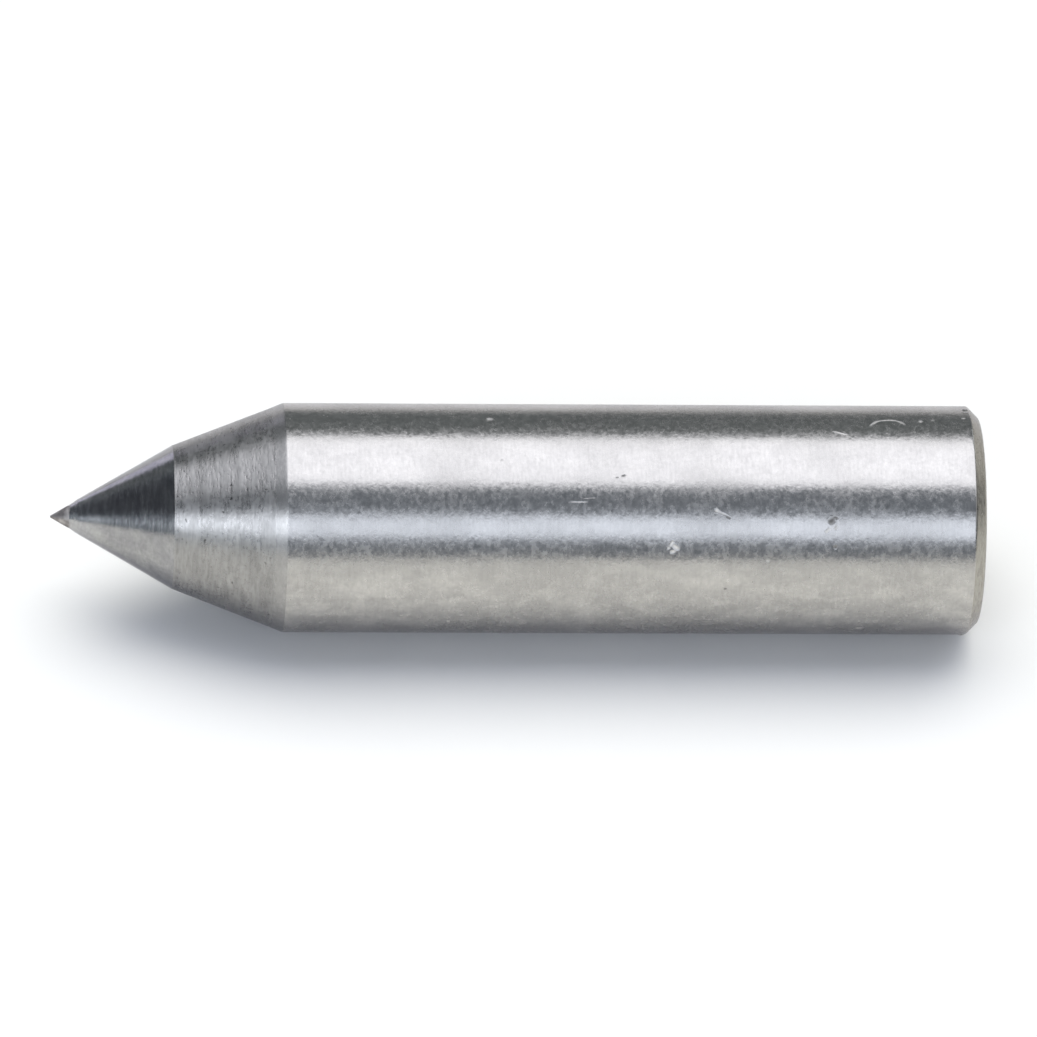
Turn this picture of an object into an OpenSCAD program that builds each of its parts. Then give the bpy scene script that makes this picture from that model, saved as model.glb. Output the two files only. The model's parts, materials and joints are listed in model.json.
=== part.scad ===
// Straight-shank lathe center: a hardened steel body with a brazed carbide point.
// Millimetres, +Z up. The axis is X: the point faces -X and the rear face +X.
// The origin is on the axis at the front end of the shank, where the nose begins.

/* [Shank] */
// Diameter of the ground shank
shank_d = 12.7; // [12:0.05:25.4]
// Length from the front end of the shank to its rear face
shank_len = 38.65; // [25:0.05:80]
// Width of the 45 degree chamfer around the rear face
rear_chamfer = 0.65; // [0.2:0.05:2]

/* [Nose] */
// Length of the steel relief cone between the shank and the carbide
relief_len = 6.15; // [4:0.05:9]

/* [Carbide point] */
// Diameter of the carbide blank, and of the point where it leaves the steel
tip_d = 7.9375; // [5:0.0005:10]
// Included angle of the point
tip_angle = 60; // [60:1:90]
// Length of the carbide blank from the apex to its flat rear end
blank_len = 15.875; // [12:0.005:20]

/* [Braze] */
// Thickness of the braze film around and behind the carbide stub
braze_t = 0.04; // [0.02:0.01:0.12]

/* [Quality] */
// Number of segments around each turned surface
segments = 128; // [48:8:256]

/* [Hidden] */

shank_r = shank_d / 2;
tip_r = tip_d / 2;
socket_r = tip_r + braze_t;

// Stations along the axis, from the shank's front end at 0
junction_x = -relief_len;
point_len = tip_r / tan(tip_angle / 2);
apex_x = junction_x - point_len;
stub_end_x = apex_x + blank_len;
socket_floor_x = stub_end_x + braze_t;
chamfer_x = shank_len - rear_chamfer;

// The nose is ground flush after brazing, so the relief cone crosses the braze film
relief_slope = (shank_r - tip_r) / relief_len;
socket_mouth_x = junction_x + braze_t / relief_slope;

// Turns an outline of [radius, station] points about the X axis
module turned(outline) {
    rotate([0, 90, 0])
        rotate_extrude($fn = segments)
            polygon(outline);
}

// Hardened and ground body: relief cone, shank, rear chamfer and the blind socket
module shank_body() {
    color("silver")
        turned([
            [socket_r, socket_mouth_x],
            [shank_r, 0],
            [shank_r, chamfer_x],
            [shank_r - rear_chamfer, shank_len],
            [0, shank_len],
            [0, socket_floor_x],
            [socket_r, socket_floor_x]
        ]);
}

// Tungsten carbide blank: the working cone and the stub inside the socket
module carbide_tip() {
    color("dimgray")
        turned([
            [0, apex_x],
            [tip_r, junction_x],
            [tip_r, stub_end_x],
            [0, stub_end_x]
        ]);
}

// Silver braze: a thin cup between the stub and the socket, flush with the relief cone
module braze_film() {
    color("darkkhaki")
        turned([
            [tip_r, junction_x],
            [socket_r, socket_mouth_x],
            [socket_r, socket_floor_x],
            [0, socket_floor_x],
            [0, stub_end_x],
            [tip_r, stub_end_x]
        ]);
}

shank_body();
carbide_tip();
braze_film();
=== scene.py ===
import json
import math
from collections import namedtuple

import bmesh
import bpy
import numpy as np
from mathutils import Matrix, Vector


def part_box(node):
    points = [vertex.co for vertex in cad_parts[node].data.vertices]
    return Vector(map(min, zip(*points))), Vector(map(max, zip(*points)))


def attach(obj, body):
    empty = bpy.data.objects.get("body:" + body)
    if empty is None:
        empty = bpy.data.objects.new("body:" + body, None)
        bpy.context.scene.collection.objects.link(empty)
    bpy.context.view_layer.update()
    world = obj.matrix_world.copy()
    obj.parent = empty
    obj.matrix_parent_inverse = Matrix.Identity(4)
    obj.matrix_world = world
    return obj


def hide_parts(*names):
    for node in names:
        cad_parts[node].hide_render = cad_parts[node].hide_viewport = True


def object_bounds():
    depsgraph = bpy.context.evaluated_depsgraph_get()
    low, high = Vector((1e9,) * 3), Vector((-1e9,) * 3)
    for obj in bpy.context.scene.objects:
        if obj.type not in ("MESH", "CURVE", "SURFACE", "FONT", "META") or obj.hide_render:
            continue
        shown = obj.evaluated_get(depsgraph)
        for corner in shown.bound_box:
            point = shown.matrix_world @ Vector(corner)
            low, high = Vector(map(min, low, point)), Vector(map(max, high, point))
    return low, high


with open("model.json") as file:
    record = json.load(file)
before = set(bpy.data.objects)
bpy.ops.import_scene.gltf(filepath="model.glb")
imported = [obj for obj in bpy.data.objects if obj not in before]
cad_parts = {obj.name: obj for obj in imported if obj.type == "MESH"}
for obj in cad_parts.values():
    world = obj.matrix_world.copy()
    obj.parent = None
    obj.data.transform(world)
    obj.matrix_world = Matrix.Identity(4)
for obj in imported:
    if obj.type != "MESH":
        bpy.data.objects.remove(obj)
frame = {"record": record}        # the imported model, the fixed frame of everything below
cad_low, cad_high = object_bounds()

MM = 0.001

# ---------------------------------------------------------------- sizes, all from the frame
body_low, body_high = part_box("shank_body")
tip_low, tip_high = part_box("carbide_tip")
braze_low, braze_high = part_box("braze_film")
mounts = {mount["name"]: mount for mount in frame["record"]["mounts"]}

shank_r = body_high.z
rear_x = body_high.x
chamfer_x = mounts["shank"]["dims"]["length_mm"] * MM
chamfer_w = rear_x - chamfer_x
mouth_x = body_low.x          # where the socket opens on the relief cone
socket_r = braze_high.z
socket_floor_x = braze_high.x
junction_x = braze_low.x      # where the point's cone meets the braze
tip_r = tip_high.z
apex_x = tip_low.x
stub_end_x = tip_high.x
relief_slope = (shank_r - tip_r) / -junction_x

# ---------------------------------------------------------------- detail sizes
SEGMENTS = 256                # round each turned surface
ARC_STEPS = 5                 # mesh rows over a rounded edge
SHARP_ANGLE = math.radians(25)    # an edge that turns more than this is shaded as an edge
HIDDEN_STEP = 1 * MM          # distance of mesh rows where nothing shows or the surface is flat
SHANK_STEP = 0.45 * MM        # the same along the shank, where no mark is
FINE_STEP = 0.1 * MM          # the same on the ground band, the chamfer and the worn tip
MARK_CUTS = 5                 # how often a mesh edge is split near a mark

SHOULDER_ROUND = 0.10 * MM    # edge between relief cone and shank
CHAMFER_ROUND = 0.10 * MM     # edge between shank and rear chamfer
REAR_ROUND = 0.15 * MM        # edge between rear chamfer and rear face
GROUND_BAND = 0.70 * MM       # smoother stretch of the relief cone next to the shank
BAND_SINK = 0.015 * MM        # depth of its front edge, which makes it a little steeper
RIDGE_FADE = 0.8 * MM         # the turning marks fade out over this length in front of it
CONE_STEP = 0.16 * MM         # distance between turning marks on the relief cone
CONE_RIDGE = 0.0014 * MM      # their height
FACE_STEP = 0.10 * MM         # distance between turning marks on the rear face
FACE_RIDGE = 0.0009 * MM      # their height

TIP_BLUNT = 0.05 * MM         # radius of the blunted apex
TIP_LAND = 1.05 * MM          # length of the worn tip, a little thinner than the point's cone
TIP_SINK = 0.035 * MM         # how much thinner, in radius
GROOVE_AT = 0.12 * MM         # the fine groove's deepest line, from the end of the worn tip
GROOVE_DEPTH = 0.055 * MM
GROOVE_END = 0.6 * MM         # where the cone has its full size again, from there too
GROOVE_ROUND = 0.03 * MM      # rounding of the groove's edges
GROOVE_END_ROUND = 0.05 * MM
GROOVE_STEP = 0.05 * MM       # distance of mesh rows in the groove
POINT_STEP = 0.25 * MM        # the same on the rest of the point's cone
RIM_STEP = 0.05 * MM          # the same on the braze's front rim

# Marks of use on the shank: x and clock angle (0 towards -Y, 90 on top), half length, half width
# and depth, tilt from the axis, bow of a curved one, and tone (1 bright, -1 dark). A bright tone
# is partly bare metal and partly a painted highlight for the light the mark's rough walls scatter.
# Lengths are in mm and angles in degrees. A negative depth stands proud.
Mark = namedtuple("Mark", "x clock length width depth tilt bow tone")
MARKS = [
    Mark(32.60, 97.6, 0.41, 0.065, 0.011, 43, 0.05, 1.0),    # arched scratch on top, in three strokes
    Mark(33.30, 100.2, 0.42, 0.060, 0.010, 5, 0.06, 1.0),
    Mark(34.00, 98.5, 0.40, 0.060, 0.010, -38, 0.08, 1.0),
    Mark(35.17, 99.3, 0.12, 0.100, 0.016, 0, 0, 1.0),        # two spots behind it
    Mark(35.86, 100.7, 0.08, 0.070, 0.010, 0, 0, 0.8),
    Mark(30.60, 89.0, 0.42, 0.050, 0.008, -23, 0, 1.0),      # short scratch next to it
    Mark(29.97, 39.6, 0.19, 0.140, 0.018, 35, 0, -0.9),      # dark dent and its bright edge
    Mark(30.20, 41.2, 0.13, 0.070, 0.014, -20, 0, -0.9),
    Mark(29.75, 34.7, 0.18, 0.090, 0.014, 45, 0, 1.0),
    Mark(30.22, 36.2, 0.13, 0.070, 0.012, 60, 0, 0.9),
    Mark(30.20, 26.3, 0.10, 0.090, 0.012, 0, 0, -0.9),       # dark spot below it
    Mark(21.14, 27.9, 0.16, 0.070, 0.014, 60, 0, 1.0),       # bright chips, close together
    Mark(21.36, 25.9, 0.22, 0.090, 0.016, -35, 0, 1.0),
    Mark(21.20, 23.6, 0.14, 0.080, 0.012, 15, 0, 1.0),
    Mark(20.98, 25.6, 0.06, 0.050, 0.008, 0, 0, 0.8),
    Mark(23.60, 44.6, 0.10, 0.090, 0.012, 0, 0, 1.0),        # bright scratch with a dark end
    Mark(23.95, 43.0, 0.34, 0.045, 0.007, -25, 0, 0.8),
    Mark(24.25, 41.3, 0.14, 0.060, 0.012, -40, 0, -0.9),
    Mark(11.27, 99.8, 0.17, 0.130, 0.012, 0, 0, 0.9),        # single spots and faint scratches
    Mark(11.50, 83.4, 0.07, 0.060, 0.008, 0, 0, 0.8),
    Mark(11.80, 70.5, 0.07, 0.060, 0.008, 0, 0, -0.5),
    Mark(18.50, 62.0, 0.12, 0.060, 0.012, 20, 0, -0.9),
    Mark(18.15, 61.0, 0.08, 0.040, 0.008, 10, 0, -0.6),
    Mark(16.00, 48.5, 0.50, 0.025, 0.004, 0, 0, 0.5),
    Mark(16.60, 50.5, 0.35, 0.025, 0.004, 3, 0, -0.5),
    Mark(26.50, 19.0, 0.09, 0.060, 0.010, 0, 0, 0.8),
    Mark(24.20, 3.0, 0.07, 0.060, 0.010, 0, 0, -0.9),
    Mark(9.06, -23.5, 0.08, 0.090, 0.012, 0, 0, 0.9),
    Mark(6.40, -17.3, 0.08, 0.080, 0.010, 0, 0, 0.6),
    Mark(31.90, -30.6, 0.16, 0.120, 0.016, 15, 0, 0.8),
    Mark(37.60, 103.0, 0.09, 0.090, 0.014, 0, 0, 0.9),
    Mark(37.78, 113.0, 0.16, 0.200, 0.045, 0, 0, 0.4),       # nick in the rear corner
    Mark(37.80, -50.0, 0.14, 0.160, -0.045, 0, 0, 0.2),      # burr on the rear corner, low in front
]
LIP_AT = 1.5                  # a mark's raised lip: distance from the mark's middle, in half sizes
LIP_WIDTH = 0.45              # its width in the same measure
LIP_HEIGHT = 0.25             # its height as a share of the mark's depth
SLOPE_REACH = 0.004 * MM      # how far to each side the slope of the marks is measured
HIDDEN_DENTS = 26             # more marks, on the sides that lie towards the back and below
HIDDEN_SCRATCHES = 9
HIDDEN_CLOCK = (128, 305)     # their clock angles


# ---------------------------------------------------------------- turned meshes
def outline(corners):
    """Points (x, r) along a row of corners (x, r, rounding, step to the next corner)."""
    points = []
    for i, (x, r, rounding, step) in enumerate(corners):
        here = Vector((x, r))
        if 0 < i < len(corners) - 1 and rounding > 0:
            before = (Vector(corners[i - 1][:2]) - here).normalized() * rounding
            after = (Vector(corners[i + 1][:2]) - here).normalized() * rounding
            for k in range(ARC_STEPS + 1):
                t = k / ARC_STEPS
                points.append(here + before * (1 - t) ** 2 + after * t ** 2)
        else:
            points.append(here)
        if i < len(corners) - 1:
            start = points[-1]
            leg = Vector(corners[i + 1][:2]) - start
            room = leg.length - corners[i + 1][2]
            pieces = max(1, round(room / step))
            points += [start + leg.normalized() * room * k / pieces for k in range(1, pieces)]
    return np.array([tuple(p) for p in points])


def lathe(points):
    """A closed mesh turned about X from an outline that starts and ends on the axis."""
    made = bmesh.new()
    angles = np.arange(SEGMENTS) * 2 * math.pi / SEGMENTS
    rings = []
    for x, r in points[1:-1]:
        ring = [made.verts.new((x, -r * math.cos(a), r * math.sin(a))) for a in angles]
        rings.append(ring)
    first = made.verts.new((points[0][0], 0, 0))
    last = made.verts.new((points[-1][0], 0, 0))
    for j in range(SEGMENTS):
        k = (j + 1) % SEGMENTS
        made.faces.new((first, rings[0][k], rings[0][j]))
        made.faces.new((last, rings[-1][j], rings[-1][k]))
        for a, b in zip(rings, rings[1:]):
            made.faces.new((a[j], a[k], b[k], b[j]))
    return made


def ridges(points, chosen, axis, height, seed):
    """Moves the chosen outline points a little, ring by ring, as a turning tool leaves them."""
    draw = np.random.default_rng(seed)
    points[chosen, axis] += height * draw.normal(0, 1, chosen.sum()).clip(-2, 2)


def hidden_marks():
    """Small dents and fine scratches on the far side and the underside, at seeded places."""
    draw = np.random.default_rng(11)
    found = []
    for _ in range(HIDDEN_DENTS):
        size = draw.uniform(0.05, 0.14)
        found.append(Mark(
            x=draw.uniform(1, 37),
            clock=draw.uniform(*HIDDEN_CLOCK),
            length=size,
            width=size * draw.uniform(0.6, 1),
            depth=size * 0.12,
            tilt=draw.uniform(-60, 60),
            bow=0,
            tone=draw.choice([-0.9, -0.5, 0.7, 0.9]),
        ))
    for _ in range(HIDDEN_SCRATCHES):
        found.append(Mark(
            x=draw.uniform(2, 36),
            clock=draw.uniform(*HIDDEN_CLOCK),
            length=draw.uniform(0.3, 1.1),
            width=0.035,
            depth=0.006,
            tilt=draw.uniform(-35, 35),
            bow=draw.uniform(-0.2, 0.2),
            tone=draw.uniform(0.5, 0.9),
        ))
    return found


def local(mark, x, clock):
    """Places seen from a mark: distance along it and across it, in its own half sizes."""
    along = x / MM - mark.x
    gap = (clock - math.radians(mark.clock) + math.pi) % (2 * math.pi) - math.pi
    around = gap * shank_r / MM
    tilt = math.radians(mark.tilt)
    u = (along * math.cos(tilt) + around * math.sin(tilt)) / mark.length
    v = -along * math.sin(tilt) + around * math.cos(tilt)
    v = (v - mark.bow * (0.5 - u ** 2)) / mark.width
    return u, v


def refine_near(made, marks):
    """Splits the shank's faces around every mark, so that its shape has points to stand on.

    The split area reaches past the mark by a share of its size and a fixed margin in mm.
    """
    centres = np.array([face.calc_center_median() for face in made.faces])
    clock = np.arctan2(centres[:, 2], -centres[:, 1])
    outside = np.hypot(centres[:, 1], centres[:, 2]) > shank_r * 0.999
    on_shank = outside & (centres[:, 0] > 0) & (centres[:, 0] < chamfer_x)
    near = np.zeros(len(centres), bool)
    for mark in marks:
        u, v = local(mark, centres[:, 0], clock)
        spare_u = 1.3 + 0.35 / mark.length
        spare_v = 2.2 + 0.15 / mark.width
        near |= on_shank & (np.abs(u) < spare_u) & (np.abs(v) < spare_v)
    made.faces.index_update()
    edges = [edge for edge in made.edges if any(near[face.index] for face in edge.link_faces)]
    bmesh.ops.subdivide_edges(made, edges=edges, cuts=MARK_CUTS, use_grid_fill=True)


def relief(marks, x, clock):
    """Height (metres) and tone that the marks give the shank at each place."""
    height = np.zeros(len(x))
    tone = np.zeros(len(x))
    for mark in marks:
        u, v = local(mark, x, clock)
        reach = u ** 4 + v ** 2
        depth = np.exp(-reach)
        lip = np.exp(-((np.sqrt(reach) - LIP_AT) / LIP_WIDTH) ** 2)
        height -= mark.depth * MM * (depth - LIP_HEIGHT * lip)
        tone += mark.tone * depth
    return height, tone


def press_marks(made, marks):
    """Puts the shank's points back on its true radius, and presses in or raises the marks.

    A mark may run on over the rounded edge of the rear chamfer. Returns each point's tone, and
    the true surface direction at the points of the shank.
    """
    made.verts.ensure_lookup_table()
    places = np.array([vert.co for vert in made.verts])
    x = places[:, 0]
    clock = np.arctan2(places[:, 2], -places[:, 1])
    radius = np.hypot(places[:, 1], places[:, 2])
    marked = (x > SHOULDER_ROUND * 1.5) & (x < chamfer_x + CHAMFER_ROUND) & (radius > shank_r * 0.97)
    straight = marked & (x < chamfer_x - CHAMFER_ROUND * 1.5)
    height, tone = relief(marks, x, clock)
    wanted = np.where(straight, shank_r, radius) + height
    for i in np.flatnonzero(marked):
        made.verts[i].co.y *= wanted[i] / radius[i]
        made.verts[i].co.z *= wanted[i] / radius[i]
    near = SLOPE_REACH
    turn = near / shank_r
    rise_x = (relief(marks, x + near, clock)[0] - relief(marks, x - near, clock)[0]) / (2 * near)
    rise_s = (relief(marks, x, clock + turn)[0] - relief(marks, x, clock - turn)[0]) / (2 * near)
    out = np.column_stack([np.zeros(len(x)), -np.cos(clock), np.sin(clock)])
    round_it = np.column_stack([np.zeros(len(x)), np.sin(clock), np.cos(clock)])
    facing = out - rise_s[:, None] * round_it
    facing[:, 0] -= rise_x
    facing /= np.linalg.norm(facing, axis=1)[:, None]
    return np.where(marked, tone, 0), np.where(straight[:, None], facing, 0)


def finish_mesh(made, name, materials, material_of=None, tone=None, facing=None):
    """Turns a bmesh into a smooth object that rides on the one body."""
    bmesh.ops.recalc_face_normals(made, faces=made.faces)
    for face in made.faces:
        face.smooth = True
        if material_of:
            face.material_index = material_of(face.calc_center_median())
    mesh = bpy.data.meshes.new(name)
    made.to_mesh(mesh)
    made.free()
    mesh.set_sharp_from_angle(angle=SHARP_ANGLE)
    if tone is not None:
        mesh.attributes.new("mark_tone", "FLOAT", "POINT").data.foreach_set("value", tone)
    if facing is not None:
        normals = np.array([corner.vector for corner in mesh.corner_normals])
        true = facing[np.array([loop.vertex_index for loop in mesh.loops])]
        known = np.abs(true).sum(axis=1) > 0
        normals[known] = true[known]
        mesh.normals_split_custom_set(normals)
    for material in materials:
        mesh.materials.append(material)
    piece = bpy.data.objects.new(name, mesh)
    bpy.context.scene.collection.objects.link(piece)
    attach(piece, "root")
    return piece


# ---------------------------------------------------------------- node trees
NOISE_RANGE = (0.3, 0.7)                # nearly all values of a noise lie between these


class Tree:
    """A node tree, with short calls for the nodes used here."""

    def __init__(self, tree):
        self.nodes = tree.nodes
        self.links = tree.links

    def put(self, socket, value):
        """Links a socket to an output, or gives it a plain value."""
        if hasattr(value, "is_output"):
            self.links.new(value, socket)
        else:
            socket.default_value = value

    def math(self, operation, *values):
        node = self.nodes.new("ShaderNodeMath")
        node.operation = operation
        for socket, value in zip(node.inputs, values):
            self.put(socket, value)
        return node.outputs[0]

    def vector(self, operation, *values):
        node = self.nodes.new("ShaderNodeVectorMath")
        node.operation = operation
        for socket, value in zip(node.inputs, values):
            self.put(socket, value)
        return node.outputs["Value" if operation == "LENGTH" else "Vector"]

    def split(self, place):
        """The x, y and z of a place or a direction."""
        node = self.nodes.new("ShaderNodeSeparateXYZ")
        self.links.new(place, node.inputs[0])
        return node.outputs

    def span(self, value, low, high, to_low=0.0, to_high=1.0, smooth=True):
        """Carries low..high over to to_low..to_high, and stays at those two outside it."""
        node = self.nodes.new("ShaderNodeMapRange")
        node.interpolation_type = "SMOOTHSTEP" if smooth else "LINEAR"
        for key, number in zip(("From Min", "From Max", "To Min", "To Max"),
                               (low, high, to_low, to_high)):
            self.put(node.inputs[key], number)
        self.put(node.inputs["Value"], value)
        return node.outputs["Result"]

    def window(self, value, low, high, soft):
        """1 between low and high, falling to 0 over 'soft' to each side of both."""
        rise = self.span(value, low - soft, low + soft)
        fall = self.span(value, high + soft, high - soft)
        return self.math("MULTIPLY", rise, fall)

    def mix(self, share, first, second):
        """The first colour where share is 0, and the second where it is 1."""
        node = self.nodes.new("ShaderNodeMix")
        node.data_type = "RGBA"
        self.put(node.inputs["Factor"], share)
        for key, value in (("A", first), ("B", second)):
            socket = [s for s in node.inputs if s.name == key and s.type == "RGBA"][0]
            self.put(socket, value)
        return [s for s in node.outputs if s.type == "RGBA"][0]

    def background(self, colour, strength):
        node = self.nodes.new("ShaderNodeBackground")
        self.put(node.inputs["Color"], colour)
        self.put(node.inputs["Strength"], strength)
        return node.outputs[0]


class Shader(Tree):
    """One material. Its noises lie in the part's own coordinates."""

    def __init__(self, name, **plain):
        self.material = bpy.data.materials.new(name)
        self.material.use_nodes = True
        super().__init__(self.material.node_tree)
        self.principled = self.nodes["Principled BSDF"]
        for socket, value in plain.items():
            self.principled.inputs[socket.replace("_", " ")].default_value = value
        self.place = self.nodes.new("ShaderNodeTexCoord").outputs["Object"]

    def set(self, socket, value):
        self.put(self.principled.inputs[socket], value)

    def along(self):
        """Distance along the part's axis, in metres from the frame's origin."""
        return self.split(self.place)[0]

    def height(self):
        """Height above the part's axis, in metres."""
        return self.split(self.place)[2]

    def radius(self):
        """Distance from the part's axis, in metres."""
        return self.vector("LENGTH", self.vector("MULTIPLY", self.place, (0, 1, 1)))

    def distance(self, x):
        """Distance on the floor from the point below (x, 0, 0), in metres."""
        return self.vector("LENGTH", self.vector("MULTIPLY_ADD", self.place, (1, 1, 0), (-x, 0, 0)))

    def noise(self, across, around, detail=3.0, roughness=0.5):
        """Noise with cells about 'across' long along the axis and 'around' round it (metres)."""
        node = self.nodes.new("ShaderNodeTexNoise")
        node.inputs["Scale"].default_value = 1.0
        node.inputs["Detail"].default_value = detail
        node.inputs["Roughness"].default_value = roughness
        scaled = self.vector("MULTIPLY", self.place, (1 / across, 1 / around, 1 / around))
        self.links.new(scaled, node.inputs["Vector"])
        return node.outputs["Fac"]

    def lines(self, value, size, detail):
        """Irregular lines where 'value' changes, about 'size' wide (metres)."""
        node = self.nodes.new("ShaderNodeTexNoise")
        node.noise_dimensions = "1D"
        node.inputs["Scale"].default_value = 1.0
        node.inputs["Detail"].default_value = detail
        self.links.new(self.math("DIVIDE", value, size), node.inputs["W"])
        return node.outputs["Fac"]

    def spots(self, spacing, low, high, bend=0.3, squeeze=1.0):
        """1 inside scattered irregular spots of about low..high (metres), 0 outside them.

        They are 'squeeze' times shorter along the axis than round it.
        """
        wobble = self.nodes.new("ShaderNodeTexNoise")
        wobble.inputs["Scale"].default_value = 4 / spacing
        self.links.new(self.place, wobble.inputs["Vector"])
        moved = self.vector("MULTIPLY_ADD", wobble.outputs["Color"], (spacing * bend,) * 3, self.place)
        cells = self.nodes.new("ShaderNodeTexVoronoi")
        cells.inputs["Scale"].default_value = 1 / spacing
        self.links.new(self.vector("MULTIPLY", moved, (squeeze, 1, 1)), cells.inputs["Vector"])
        return self.span(cells.outputs["Distance"], low / spacing, high / spacing, 1, 0)

    def vary(self, noise, low, high, smooth=False):
        """Carries the usual values of a noise over to low..high."""
        return self.span(noise, *NOISE_RANGE, low, high, smooth)

    def attribute(self, name):
        node = self.nodes.new("ShaderNodeAttribute")
        node.attribute_name = name
        return node.outputs["Fac"]

    def scaled(self, colour, factor):
        node = self.nodes.new("ShaderNodeVectorMath")
        node.operation = "SCALE"
        self.put(node.inputs[0], colour)
        self.put(node.inputs["Scale"], factor)
        return node.outputs[0]

    def bump(self, height, size, base=None):
        """Raises the surface by height times size (metres), on top of another bump if given."""
        node = self.nodes.new("ShaderNodeBump")
        node.inputs["Strength"].default_value = 1.0
        node.inputs["Distance"].default_value = size
        self.links.new(height, node.inputs["Height"])
        if base:
            self.links.new(base, node.inputs["Normal"])
        return node.outputs["Normal"]


# ---------------------------------------------------------------- materials
STEEL_EDGE = (0.77, 0.76, 0.80, 1)      # tint of a reflection seen at a grazing angle
PAINTED_SHADE_HEIGHTS = (0.18 * shank_r, 0.40 * shank_r)    # between these heights the steel's colour darkens towards its lower side, a painted shade


def ground_steel():
    """The shank: bright ground steel, finely mottled, with soft lighter clouds, marks of use and a painted
    shade on its lower side.
    """
    plain = (0.488, 0.469, 0.436, 1)
    clouded = (0.568, 0.546, 0.504, 1)
    s = Shader("ground_steel", Metallic=1.0, Specular_Tint=STEEL_EDGE)
    cloud = s.noise(1.6 * MM, 1.0 * MM, detail=4, roughness=0.6)
    stain = s.noise(5 * MM, 3.5 * MM, detail=2)
    fleck = s.noise(0.36 * MM, 0.40 * MM, detail=2.5, roughness=0.6)
    grain = s.noise(0.18 * MM, 0.22 * MM, detail=1.5, roughness=0.5)
    strokes = s.noise(0.15 * MM, 0.8 * MM, detail=2, roughness=0.6)
    tone = s.attribute("mark_tone")
    fewer_above = s.span(s.height(), -0.1 * shank_r, 0.5 * shank_r, 1.0, 0.35)
    cloud = s.math("MULTIPLY", s.span(cloud, 0.42, 0.62), fewer_above)
    colour = s.mix(cloud, plain, clouded)
    colour = s.scaled(colour, s.span(stain, 0.35, 0.65, 1.05, 0.97))
    colour = s.scaled(colour, s.span(fleck, 0.32, 0.68, 0.94, 1.06, smooth=False))
    colour = s.scaled(colour, s.vary(grain, 0.95, 1.05))
    colour = s.scaled(colour, s.vary(strokes, 0.95, 1.05))
    # painted shade: the colour of the lower side is about 11% darker
    colour = s.scaled(colour, s.span(s.height(), *PAINTED_SHADE_HEIGHTS, 0.89, 1.0))
    # the marks' tone darkens or lightens the colour; the lightening is partly bare metal and partly a
    # painted highlight
    s.set("Base Color", s.scaled(colour, s.span(tone, -1, 1, 0.35, 1.65, smooth=False)))
    rough = s.math("ADD", s.vary(grain, 0.15, 0.20, smooth=True), s.span(fleck, 0.32, 0.68, 0.0, 0.08))
    rough = s.math("ADD", rough, s.span(stain, 0.35, 0.65, 0.0, 0.05))
    s.set("Roughness", s.math("ADD", rough, s.math("MULTIPLY", s.math("ABSOLUTE", tone), 0.40)))
    s.set("Normal", s.bump(grain, 0.0045 * MM, s.bump(fleck, 0.008 * MM)))
    return s.material


def turned_steel():
    """The relief cone: circumferential lines and dark pits, smoother in the band at the shank, with a
    painted shade on its lower side.
    """
    dark = (0.345, 0.335, 0.315, 1)
    light = (0.395, 0.383, 0.36, 1)
    s = Shader("turned_steel", Metallic=1.0, Specular_Tint=STEEL_EDGE)
    edge = s.math("ADD", s.along(), s.math("MULTIPLY", s.noise(0.3 * MM, 0.5 * MM), 0.12 * MM))
    band = s.span(edge, -GROUND_BAND - 0.05 * MM, -GROUND_BAND + 0.15 * MM)
    grain = s.noise(0.18 * MM, 0.30 * MM, detail=2, roughness=0.6)
    lines = s.noise(0.15 * MM, 1.1 * MM, detail=2, roughness=0.6)
    sweep = s.noise(0.6 * MM, 2.6 * MM, detail=3, roughness=0.6)
    patch = s.noise(1.3 * MM, 1.3 * MM, detail=3)
    pits = s.spots(0.85 * MM, 0.03 * MM, 0.18 * MM, bend=0.4, squeeze=2.0)
    pits = s.math("MULTIPLY", pits, s.span(patch, 0.48, 0.58))
    pits = s.math("MULTIPLY", pits, s.math("SUBTRACT", 1.0, band))
    worn = s.math("MULTIPLY", s.vary(lines, 0.88, 1.12), s.vary(grain, 0.92, 1.08))
    worn = s.math("MULTIPLY", worn, s.vary(sweep, 0.86, 1.14))
    smoothed = s.vary(grain, 1.03, 1.16, smooth=True)
    colour = s.mix(s.span(patch, 0.35, 0.65), dark, light)
    colour = s.scaled(colour, s.span(band, 0, 1, worn, smoothed, smooth=False))
    # painted shade: the colour of the lower side is about 10% darker
    colour = s.scaled(colour, s.span(s.height(), *PAINTED_SHADE_HEIGHTS, 0.90, 1.0))
    s.set("Base Color", s.scaled(colour, s.span(pits, 0, 1, 1, 0.35)))
    rough = s.math("ADD", s.vary(sweep, 0.0, 0.07, smooth=True), s.vary(grain, 0.22, 0.32, smooth=True))
    s.set("Roughness", s.span(band, 0, 1, rough, 0.27))
    lines_height = s.math("MULTIPLY", s.math("SUBTRACT", lines, 0.5), s.span(band, 0, 1, 1, 0.2))
    grain_height = s.math("MULTIPLY", s.math("SUBTRACT", grain, 0.5), s.span(band, 0, 1, 1, 0.4))
    normal = s.bump(grain_height, 0.009 * MM, s.bump(lines_height, 0.009 * MM))
    s.set("Normal", s.bump(s.math("SUBTRACT", 1.0, pits), 0.005 * MM, normal))
    return s.material


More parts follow.
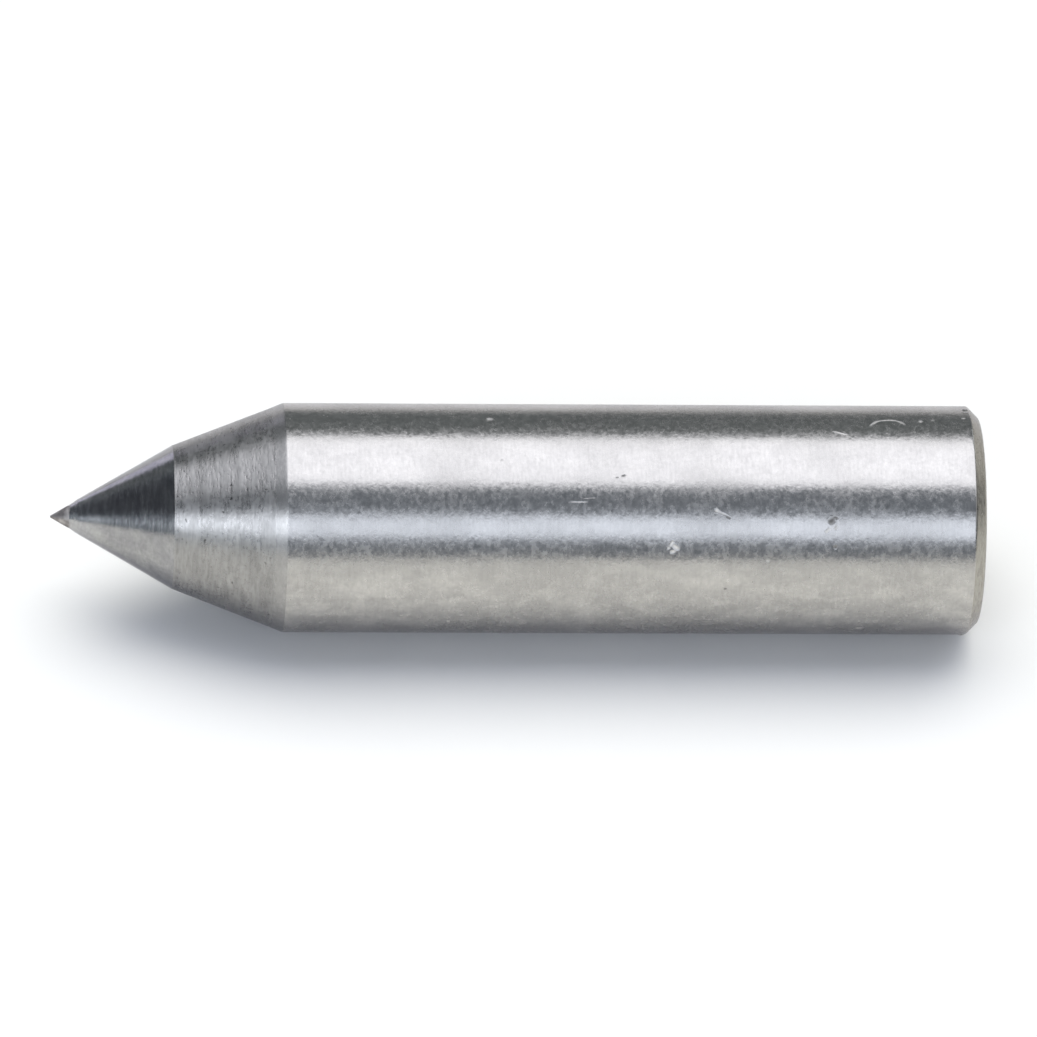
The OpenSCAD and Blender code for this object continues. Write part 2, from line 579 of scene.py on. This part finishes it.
def chamfer_steel():
    """The rear chamfer: a turned cut, browner and duller than the ground shank."""
    dark = (0.33, 0.312, 0.270, 1)
    light = (0.42, 0.40, 0.345, 1)
    s = Shader("chamfer_steel", Metallic=1.0, Specular_Tint=STEEL_EDGE)
    grain = s.noise(0.09 * MM, 0.5 * MM, detail=3)
    lines = s.noise(0.05 * MM, 2.0 * MM, detail=2)
    s.set("Base Color", s.mix(s.span(grain, 0.35, 0.65), dark, light))
    s.set("Roughness", s.vary(grain, 0.24, 0.34, smooth=True))
    s.set("Normal", s.bump(lines, 0.006 * MM, s.bump(grain, 0.004 * MM)))
    return s.material


def faced_steel():
    """The rear face: faced on the lathe, with rings round the axis."""
    dark = (0.45, 0.436, 0.405, 1)
    light = (0.51, 0.495, 0.462, 1)
    s = Shader("faced_steel", Metallic=1.0, Specular_Tint=STEEL_EDGE)
    rings = s.lines(s.radius(), 0.05 * MM, detail=3)
    cloud = s.noise(1.5 * MM, 1.5 * MM, detail=4)
    pits = s.spots(0.9 * MM, 0.06 * MM, 0.12 * MM)
    colour = s.mix(s.span(cloud, 0.4, 0.65), dark, light)
    colour = s.scaled(colour, s.vary(rings, 0.9, 1.08))
    s.set("Base Color", s.scaled(colour, s.span(pits, 0, 1, 1, 0.6)))
    s.set("Roughness", s.vary(rings, 0.22, 0.34, smooth=True))
    s.set("Normal", s.bump(rings, 0.005 * MM))
    return s.material


def carbide():
    """The point: dark fine-ground carbide, mottled, lighter in front, with a grey-brown worn tip."""
    dark = (0.315, 0.309, 0.305, 1)
    light = (0.385, 0.378, 0.362, 1)
    stain_dark = (0.27, 0.25, 0.236, 1)
    stain_light = (0.47, 0.44, 0.41, 1)
    s = Shader("carbide", Metallic=1.0, Specular_Tint=STEEL_EDGE)
    mottle = s.noise(0.9 * MM, 0.7 * MM, detail=3, roughness=0.5)
    strokes = s.noise(0.16 * MM, 0.9 * MM, detail=2, roughness=0.6)
    grain = s.noise(0.17 * MM, 0.22 * MM, detail=2, roughness=0.5)
    tip_end = apex_x + TIP_LAND
    edge = s.math("ADD", s.along(), s.math("MULTIPLY", s.noise(0.3 * MM, 0.3 * MM), 0.3 * MM))
    tip = s.span(edge, tip_end + 0.22 * MM, tip_end + 0.36 * MM, 1, 0)
    colour = s.mix(s.vary(mottle, 0, 1, smooth=True), dark, light)
    front = s.span(s.along(), tip_end, tip_end + 2.8 * MM, 1, 0)
    colour = s.scaled(colour, s.span(front, 0, 1, 1, 1.28))
    colour = s.mix(tip, colour, s.mix(s.span(mottle, 0.45, 0.60), stain_dark, stain_light))
    worn = s.math("MULTIPLY", s.vary(strokes, 0.93, 1.07), s.vary(grain, 0.92, 1.08))
    s.set("Base Color", s.scaled(colour, worn))
    rough = s.math("ADD", s.vary(strokes, 0.14, 0.22, smooth=True), s.math("MULTIPLY", front, 0.07))
    s.set("Roughness", s.span(tip, 0, 1, rough, 0.48))
    s.set("Normal", s.bump(strokes, 0.005 * MM, s.bump(grain, 0.003 * MM)))
    return s.material


def braze():
    """The braze line: ground flush with the steel and nearly as grey as it."""
    dark = (0.33, 0.32, 0.302, 1)
    light = (0.40, 0.388, 0.365, 1)
    s = Shader("braze", Metallic=1.0, Specular_Tint=STEEL_EDGE)
    grain = s.noise(0.08 * MM, 0.08 * MM, detail=2)
    s.set("Base Color", s.mix(grain, dark, light))
    s.set("Roughness", s.vary(grain, 0.25, 0.4, smooth=True))
    return s.material


# ---------------------------------------------------------------- the three pieces
def build_body():
    """The steel body. Its outline runs from the socket's floor round the outside to the axis."""
    band_x = -GROUND_BAND
    face_r = shank_r - chamfer_w
    points = outline([
        (socket_floor_x, 0, 0, HIDDEN_STEP),
        (socket_floor_x, socket_r, 0, HIDDEN_STEP),
        (mouth_x, socket_r, 0, CONE_STEP),
        (band_x, shank_r + band_x * relief_slope - BAND_SINK, 0, FINE_STEP),
        (0, shank_r, SHOULDER_ROUND, SHANK_STEP),
        (chamfer_x, shank_r, CHAMFER_ROUND, FINE_STEP),
        (rear_x, face_r, REAR_ROUND, FACE_STEP),
        (rear_x, 0, 0, HIDDEN_STEP),
    ])
    x, r = points.T
    on_cone = (x > mouth_x + CONE_STEP) & (x < band_x - CONE_STEP) & (r > socket_r)
    on_face = (x > rear_x - FACE_RIDGE) & (r < face_r - REAR_ROUND) & (r > 0)
    fade = ((band_x - x[on_cone]) / RIDGE_FADE).clip(0, 1)
    ridges(points, on_cone, 1, CONE_RIDGE * fade, seed=3)
    ridges(points, on_face, 0, FACE_RIDGE, seed=4)
    marks = MARKS + hidden_marks()
    made = lathe(points)
    refine_near(made, marks)
    tone, facing = press_marks(made, marks)

    def material_of(centre):
        """Which of the materials below a face gets. The rounded edges lie between two of them."""
        if centre.x < -SHOULDER_ROUND * 0.3:
            return 1
        if centre.x > rear_x - REAR_ROUND * 0.4 and math.hypot(centre.y, centre.z) < face_r:
            return 3
        return 2 if centre.x > chamfer_x else 0

    materials = [ground_steel(), turned_steel(), chamfer_steel(), faced_steel()]
    piece = finish_mesh(made, "shank_body_ground", materials, material_of, tone, facing)
    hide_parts("shank_body")


def build_tip():
    """The carbide point, with its blunted apex, worn tip and the fine groove behind the tip."""
    slope = tip_r / (junction_x - apex_x)

    def cone(past_apex, sunk=0.0):
        """A place (x, r) on the point's cone, or 'sunk' below it."""
        return apex_x + past_apex, past_apex * slope - sunk

    blunt = (TIP_BLUNT + TIP_SINK) / slope
    points = outline([
        (apex_x + blunt, 0, 0, HIDDEN_STEP),
        (*cone(blunt, TIP_SINK), TIP_BLUNT * 0.5, FINE_STEP),
        (*cone(TIP_LAND, TIP_SINK), GROOVE_ROUND, GROOVE_STEP),
        (*cone(TIP_LAND + GROOVE_AT, GROOVE_DEPTH), GROOVE_ROUND, GROOVE_STEP),
        (*cone(TIP_LAND + GROOVE_END), GROOVE_END_ROUND, POINT_STEP),
        (junction_x, tip_r, 0, HIDDEN_STEP),
        (stub_end_x, tip_r, 0, HIDDEN_STEP),
        (stub_end_x, 0, 0, HIDDEN_STEP),
    ])
    piece = finish_mesh(lathe(points), "carbide_tip_ground", [carbide()])
    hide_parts("carbide_tip")


def build_braze():
    """The braze, a thin cup round the carbide's stub. Only its front rim shows."""
    points = outline([
        (stub_end_x, 0, 0, HIDDEN_STEP),
        (stub_end_x, tip_r, 0, HIDDEN_STEP),
        (junction_x, tip_r, 0, RIM_STEP),
        (mouth_x, socket_r, 0, HIDDEN_STEP),
        (socket_floor_x, socket_r, 0, HIDDEN_STEP),
        (socket_floor_x, 0, 0, HIDDEN_STEP),
    ])
    piece = finish_mesh(lathe(points), "braze_line", [braze()])
    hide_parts("braze_film")


build_body()
build_tip()
build_braze()


# ---------------------------------------------------------------- floor and studio light
FLOOR_HALF = 12.0             # half the side of the floor, in metres
PAINTED_POOL_SPAN = (0.055, 0.16)    # between these distances (metres) the floor turns a little greyer: a painted pool of light round the part
PAINTED_POOL_OUTSIDE = 0.80              # the share of its colour that is left outside the painted pool of light
FILL_ENERGY = 1.15
FILL_COLOUR = (1.0, 0.96, 0.74)

# The room is dim. It is a little brighter in the middle, seen from left to right, than at its ends.
ROOM_COLOUR = (0.73, 0.83, 1.0, 1)      # in front and at the sides
BACK_COLOUR = (0.635, 0.71, 0.755, 1)   # the back wall
BACK_SPAN = (0.55, 2.0)                 # the back wall's part of the directions along Y
BACK_SOFT = 0.25
MIDDLE_SPAN = (-0.66, 0.50)             # the middle's part of the directions along X
MIDDLE_SOFT = 0.05
ROOM_STRENGTH = 0.105
MIDDLE_STRENGTH = 0.175                 # what the middle has on top of that
HORIZON_COLOUR = (0.98, 0.99, 1.0, 1)   # all that lies below the horizon, beyond the floor
HORIZON_STRENGTH = 1.035 * PAINTED_POOL_OUTSIDE    # as bright as the lit floor where it ends

# The light cards, very far away. 'facing' says which way a card lies, and 'across' and 'upward'
# how far it reaches along the two axes, in units of its distance. Its edges fade over 'soft'.
NEAREST = 0.02                # a direction that has less than this towards a card doesn't see it
Card = namedtuple("Card", "facing axes across upward soft colour strength")
CARDS = [
    # softbox above
    Card("+z", "+x +y", (-0.70, 0.90), (-0.30, 0.86), 0.06, (0.896, 0.91, 1.0), 1.74),
    # wide card in front
    Card("-y", "+x +z", (-1.4, 0.6), (0.37, 0.92), 0.06, (0.783, 0.849, 1.0), 1.56),
    # dim card to the left of the softbox
    Card("+z", "+x +y", (-0.95, -0.70), (-0.65, 0.12), 0.06, (0.9, 0.93, 1.0), 0.15),
    # brighter left part of the card in front
    Card("-y", "+x +z", (-1.4, -0.55), (0.33, 0.98), 0.09, (0.85, 0.90, 1.0), 1.8),
    # dim card low on the left
    Card("-x", "+y +z", (-2.5, 1.0), (-0.1, 0.42), 0.06, (0.75, 0.86, 1.0), 0.34),
    # low card at the back, on the left
    Card("+y", "+x +z", (-1.1, -0.33), (-0.3, 0.32), 0.06, (0.82, 0.80, 1.0), 1.05),
    # dim card at the back, just above the horizon
    Card("+y", "+x +z", (-0.30, 1.1), (-0.1, 0.09), 0.05, (1.0, 0.97, 0.97), 0.34),
    # low card on the right
    Card("+x", "+y +z", (0.3, 1.1), (0.0, 0.28), 0.06, (1.0, 0.97, 0.92), 0.62),
    # dim card on the right
    Card("+x", "+y +z", (-1.2, 0.6), (0.35, 1.2), 0.12, (0.93, 0.95, 1.0), 0.40),
    # card at the back, on the right
    Card("+y", "+x +z", (0.6, 1.8), (0.25, 0.9), 0.1, (0.9, 0.95, 1.0), 0.9),
]


def build_floor():
    """The pale floor. It lies at the part's lowest point and reaches far beyond it. Its colour is lighter
    round the part and greyer further off, a painted pool of light.
    """
    dark = (0.87, 0.865, 0.85, 1)
    light = (0.89, 0.885, 0.87, 1)
    s = Shader("pale_floor", Roughness=0.9)
    # painted pool of light: full colour near the part, greyer further off
    fade = s.span(s.distance((apex_x + rear_x) / 2), *PAINTED_POOL_SPAN, 1, PAINTED_POOL_OUTSIDE)
    s.set("Base Color", s.scaled(s.mix(s.noise(0.4, 0.4, detail=2), dark, light), fade))
    mesh = bpy.data.meshes.new("floor")
    corners = [(FLOOR_HALF * x, FLOOR_HALF * y, cad_low.z) for x, y in ((-1, -1), (1, -1), (1, 1), (-1, 1))]
    mesh.from_pydata(corners, [], [(0, 1, 2, 3)])
    mesh.materials.append(s.material)
    floor = bpy.data.objects.new("floor", mesh)
    bpy.context.scene.collection.objects.link(floor)


def build_world():
    """A studio all round, far away: each card is a bright rectangle with soft edges."""
    world = bpy.data.worlds.new("studio")
    bpy.context.scene.world = world
    world.use_nodes = True
    world.node_tree.nodes.clear()
    t = Tree(world.node_tree)
    x, y, z = t.split(t.nodes.new("ShaderNodeTexCoord").outputs["Generated"])
    parts = {"+x": x, "+y": y, "+z": z}
    parts["-x"] = t.math("MULTIPLY", x, -1.0)
    parts["-y"] = t.math("MULTIPLY", y, -1.0)
    above = t.math("GREATER_THAN", z, 0.0)

    def shine(card):
        """The light of one card. It ends at the horizon."""
        depth = parts[card.facing]
        across, upward = [parts[axis] for axis in card.axes.split()]
        front = t.math("MULTIPLY", t.math("GREATER_THAN", depth, NEAREST), above)
        safe = t.math("MAXIMUM", depth, NEAREST)
        u = t.window(t.math("DIVIDE", across, safe), *card.across, card.soft)
        v = t.window(t.math("DIVIDE", upward, safe), *card.upward, card.soft)
        mask = t.math("MULTIPLY", t.math("MULTIPLY", u, v), front)
        return t.background((*card.colour, 1), t.math("MULTIPLY", mask, card.strength))

    wall = t.mix(t.window(y, *BACK_SPAN, BACK_SOFT), ROOM_COLOUR, BACK_COLOUR)
    middle = t.math("MULTIPLY", t.window(x, *MIDDLE_SPAN, MIDDLE_SOFT), MIDDLE_STRENGTH)
    base = t.nodes.new("ShaderNodeMixShader")
    t.links.new(t.math("LESS_THAN", z, 0.0), base.inputs[0])
    t.links.new(t.background(wall, t.math("ADD", ROOM_STRENGTH, middle)), base.inputs[1])
    t.links.new(t.background(HORIZON_COLOUR, HORIZON_STRENGTH), base.inputs[2])
    total = base.outputs[0]
    for card in CARDS:
        add = t.nodes.new("ShaderNodeAddShader")
        t.links.new(total, add.inputs[0])
        t.links.new(shine(card), add.inputs[1])
        total = add.outputs[0]
    out = t.nodes.new("ShaderNodeOutputWorld")
    t.links.new(total, out.inputs["Surface"])


def build_fill():
    """A broad soft light that evens out the floor and leaves the reflections alone."""
    data = bpy.data.lights.new("fill", "SUN")
    data.energy = FILL_ENERGY
    data.color = FILL_COLOUR
    data.angle = math.radians(60)
    fill = bpy.data.objects.new("fill", data)
    bpy.context.scene.collection.objects.link(fill)
    fill.rotation_euler = (math.radians(-20), 0, math.radians(-10))
    fill.visible_glossy = False


build_floor()
build_world()
build_fill()

# ---------------------------------------------------------------- camera
ELEVATION = math.radians(40.0)
LEAN = math.radians(4.06)           # the point is turned this much towards the camera
ROLL = math.radians(0.241)          # the axis drops by this towards the rear
SHANK_D = 2 * shank_r
DISTANCE = 60.0 * SHANK_D
SENSOR = 36.0
FRAME_WIDTH = 4.53 * SHANK_D        # width of the picture in the plane of the part
AIM_ALONG = 2.0582 * SHANK_D        # from the apex to the middle of the picture


def build_camera():
    """The photograph's view: a long lens from the front, with the point on the left."""
    data = bpy.data.cameras.new("camera")
    camera = bpy.data.objects.new("camera", data)
    bpy.context.scene.collection.objects.link(camera)
    bpy.context.scene.camera = camera
    turn = math.asin(-math.sin(LEAN) / math.cos(ELEVATION))
    back = Vector((math.sin(turn) * math.cos(ELEVATION),
                   -math.cos(turn) * math.cos(ELEVATION),
                   math.sin(ELEVATION)))
    axis = Vector((1, 0, 0))
    along = (axis - back * axis.dot(back)).normalized()
    over = back.cross(along)
    right = along * math.cos(ROLL) + over * math.sin(ROLL)
    up = back.cross(right)
    aim = Vector((apex_x + AIM_ALONG, 0, 0))
    turned = Matrix((right, up, back)).transposed().to_4x4()
    camera.matrix_world = Matrix.Translation(aim + back * DISTANCE) @ turned
    data.sensor_width = SENSOR
    data.lens = SENSOR * DISTANCE / FRAME_WIDTH
    data.clip_start = 0.01
    data.clip_end = 100.0


build_camera()
bpy.context.scene.view_settings.view_transform = "Standard"
